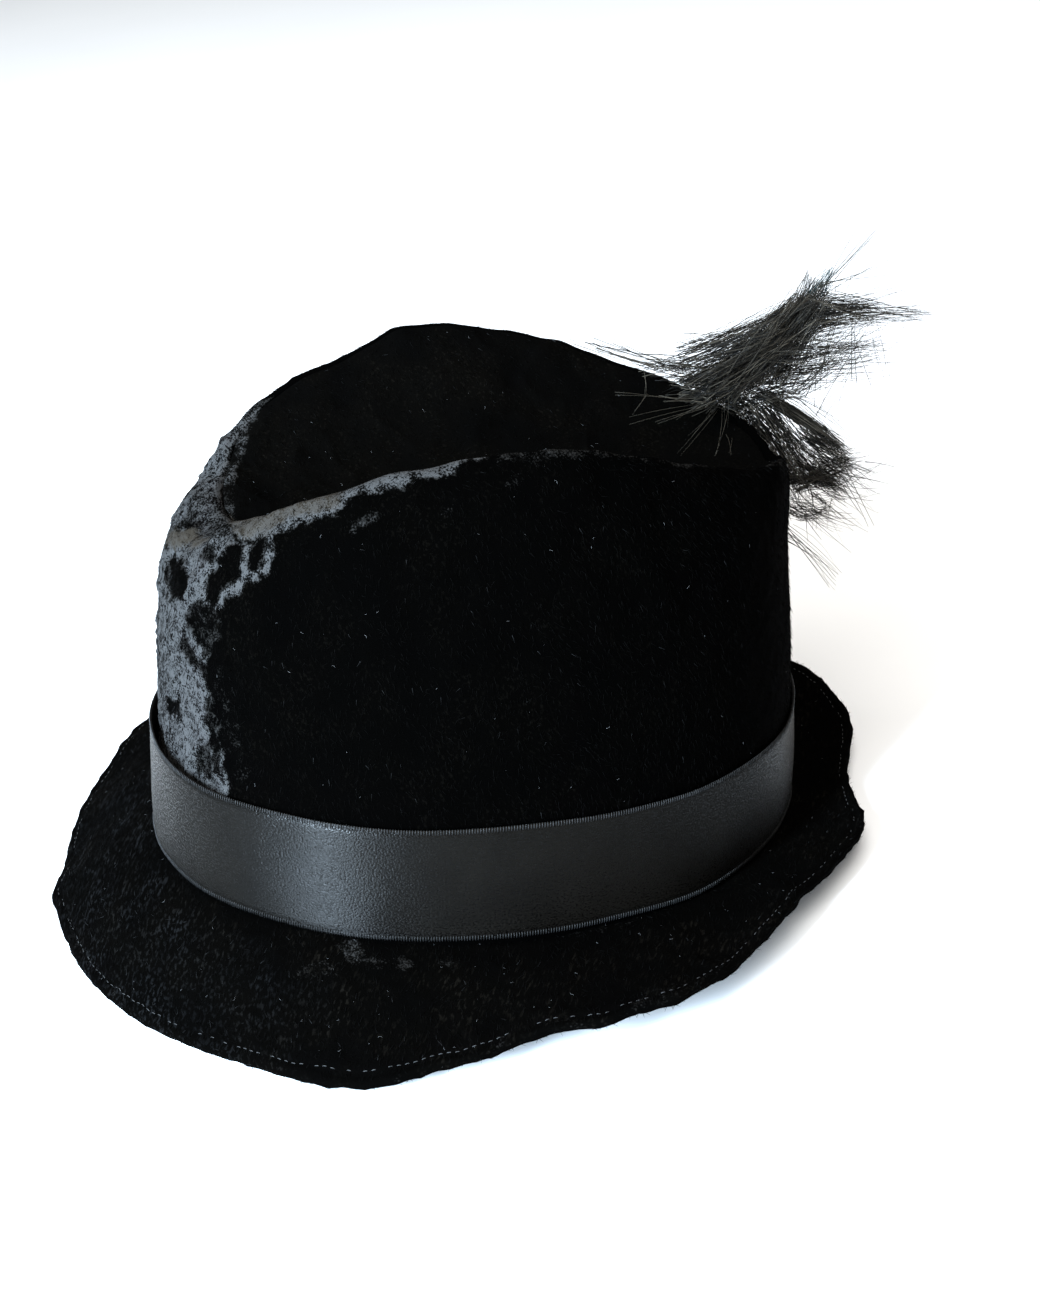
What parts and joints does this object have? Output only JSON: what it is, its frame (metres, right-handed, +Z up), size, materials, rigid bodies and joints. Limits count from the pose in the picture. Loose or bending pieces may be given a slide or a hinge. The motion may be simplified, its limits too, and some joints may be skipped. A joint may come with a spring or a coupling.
{
  "type": "trilby",
  "caption": "Soft cut-and-sewn trilby with a pinched and dented crown, a short brim that dips at the front, a satin ribbon and a bristly plume at the back.",
  "frame": {"origin": "middle of the hat's box, on the surface that it lies on", "axes": "+Z up, -Y towards the hat's front, +X towards the wearer's left"},
  "size_m": [0.249, 0.2956, 0.1597],
  "materials": {
    "velvet": "black crushed velvet, its pile rubbed to a pale sheen at the front and along the left ridge",
    "satin": "black satin with a soft gloss and looped edges",
    "quill": "plain black",
    "bristle": "coarse black bristles, grey where the light catches them"
  },
  "bodies": {
    "root": {"crown_left": "velvet", "crown_right": "velvet", "crown_tip": "velvet", "brim": "velvet", "ribbon": "satin", "plume_quill": "quill", "plume_tuft_upper": "bristle", "plume_tuft_lower": "bristle"}
  },
  "joints": []
}
